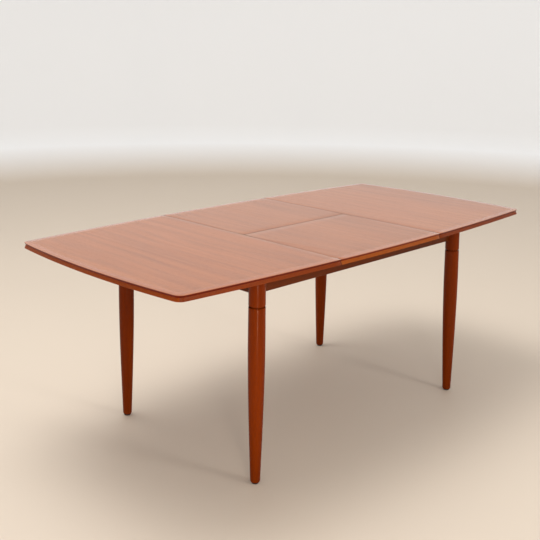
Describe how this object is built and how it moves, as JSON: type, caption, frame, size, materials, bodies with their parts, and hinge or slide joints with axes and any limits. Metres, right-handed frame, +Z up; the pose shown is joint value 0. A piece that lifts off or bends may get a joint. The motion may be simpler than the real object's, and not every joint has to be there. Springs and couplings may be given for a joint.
{
  "type": "extension dining table",
  "caption": "Long bow-sided dining table on round tapered legs, with two sliding end tops and a centre leaf that folds in half and swings down into the frame.",
  "frame": {"origin": "on the floor, under the middle of the table top", "axes": "+X along the length of the table to its right end, +Y to the rear, +Z up"},
  "size_m": [1.958, 0.974, 0.74],
  "materials": {
    "top_veneer": "satin lacquered teak veneer, grain across the table",
    "leaf_veneer": "satin lacquered teak veneer, slightly browner from storage in the dark",
    "lipping_wood": "satin lacquered solid teak edge, V-cove moulded",
    "leg_wood": "satin lacquered deep red-brown turned hardwood",
    "frame_wood": "matt oiled solid wood",
    "steel": "zinc plated",
    "brass": "satin",
    "black_nylon": "fine matt"
  },
  "bodies": {
    "frame": {"left_front_pivot_pin": "steel", "left_rear_pivot_pin": "steel", "right_front_pivot_pin": "steel", "right_rear_pivot_pin": "steel", "front_left_post": "leg_wood", "front_left_leg": "leg_wood", "front_left_leg_stud": "steel", "front_left_glide": "black_nylon", "front_right_post": "leg_wood", "front_right_leg": "leg_wood", "front_right_leg_stud": "steel", "front_right_glide": "black_nylon", "front_apron": "frame_wood", "front_guide_rail": "frame_wood", "rear_left_post": "leg_wood", "rear_left_leg": "leg_wood", "rear_left_leg_stud": "steel", "rear_left_glide": "black_nylon", "rear_right_post": "leg_wood", "rear_right_leg": "leg_wood", "rear_right_leg_stud": "steel", "rear_right_glide": "black_nylon", "rear_apron": "frame_wood", "rear_guide_rail": "frame_wood", "left_apron": "frame_wood", "left_cross_bearer": "frame_wood", "right_apron": "frame_wood", "right_cross_bearer": "frame_wood"},
    "left_top": {"left_top_panel": "top_veneer", "left_top_end_lipping": "lipping_wood", "left_top_front_lipping": "lipping_wood", "left_top_front_runner": "frame_wood", "left_top_rear_lipping": "lipping_wood", "left_top_rear_runner": "frame_wood"},
    "right_top": {"right_top_panel": "top_veneer", "right_top_end_lipping": "lipping_wood", "right_top_front_lipping": "lipping_wood", "right_top_front_runner": "frame_wood", "right_top_rear_lipping": "lipping_wood", "right_top_rear_runner": "frame_wood"},
    "front_arm_pair": {"left_front_swing_arm": "steel", "right_front_swing_arm": "steel"},
    "rear_arm_pair": {"left_rear_swing_arm": "steel", "right_rear_swing_arm": "steel"},
    "rear_leaf": {"rear_leaf_panel": "leaf_veneer", "rear_leaf_lipping": "lipping_wood", "rear_leaf_left_hinge_plate": "brass", "rear_leaf_right_hinge_plate": "brass", "left_front_leaf_bracket": "steel", "left_rear_leaf_bracket": "steel", "right_front_leaf_bracket": "steel", "right_rear_leaf_bracket": "steel"},
    "hinge_links": {"left_hinge_link": "brass", "right_hinge_link": "brass"},
    "front_leaf": {"front_leaf_panel": "leaf_veneer", "front_leaf_lipping": "lipping_wood", "front_leaf_left_hinge_plate": "brass", "front_leaf_right_hinge_plate": "brass"}
  },
  "joints": [
    {"name": "left_top_slide", "type": "slide", "parent": "frame", "child": "left_top", "axis": [-1, 0, 0], "range_m": [0, 0.012]},
    {"name": "right_top_slide", "type": "slide", "parent": "frame", "child": "right_top", "axis": [1, 0, 0], "range_m": [0, 0.012]},
    {"name": "leaf_swing", "type": "hinge", "parent": "frame", "child": "front_arm_pair", "pos_m": [0, 0.054, 0.659], "axis": [1, 0, 0], "range_deg": [0, 180]},
    {"name": "rear_arm_swing", "type": "hinge", "parent": "frame", "child": "rear_arm_pair", "pos_m": [0, 0.204, 0.659], "axis": [1, 0, 0], "range_deg": [0, 180]},
    {"name": "leaf_level", "type": "hinge", "parent": "front_arm_pair", "child": "rear_leaf", "pos_m": [0, 0.15, 0.684], "axis": [1, 0, 0], "range_deg": [-180, 0]},
    {"name": "hinge_link_turn", "type": "hinge", "parent": "rear_leaf", "child": "hinge_links", "pos_m": [0, 0.006, 0.737], "axis": [-1, 0, 0], "range_deg": [0, 90]},
    {"name": "leaf_fold", "type": "hinge", "parent": "hinge_links", "child": "front_leaf", "pos_m": [0, -0.006, 0.737], "axis": [-1, 0, 0], "range_deg": [0, 90]}
  ],
  "couplings": [
    {"joint": "rear_arm_swing", "follows": "leaf_swing", "ratio": 1},
    {"joint": "leaf_level", "follows": "leaf_swing", "ratio": -1},
    {"joint": "hinge_link_turn", "follows": "leaf_swing", "ratio": 0.5},
    {"joint": "leaf_fold", "follows": "leaf_swing", "ratio": 0.5}
  ]
}
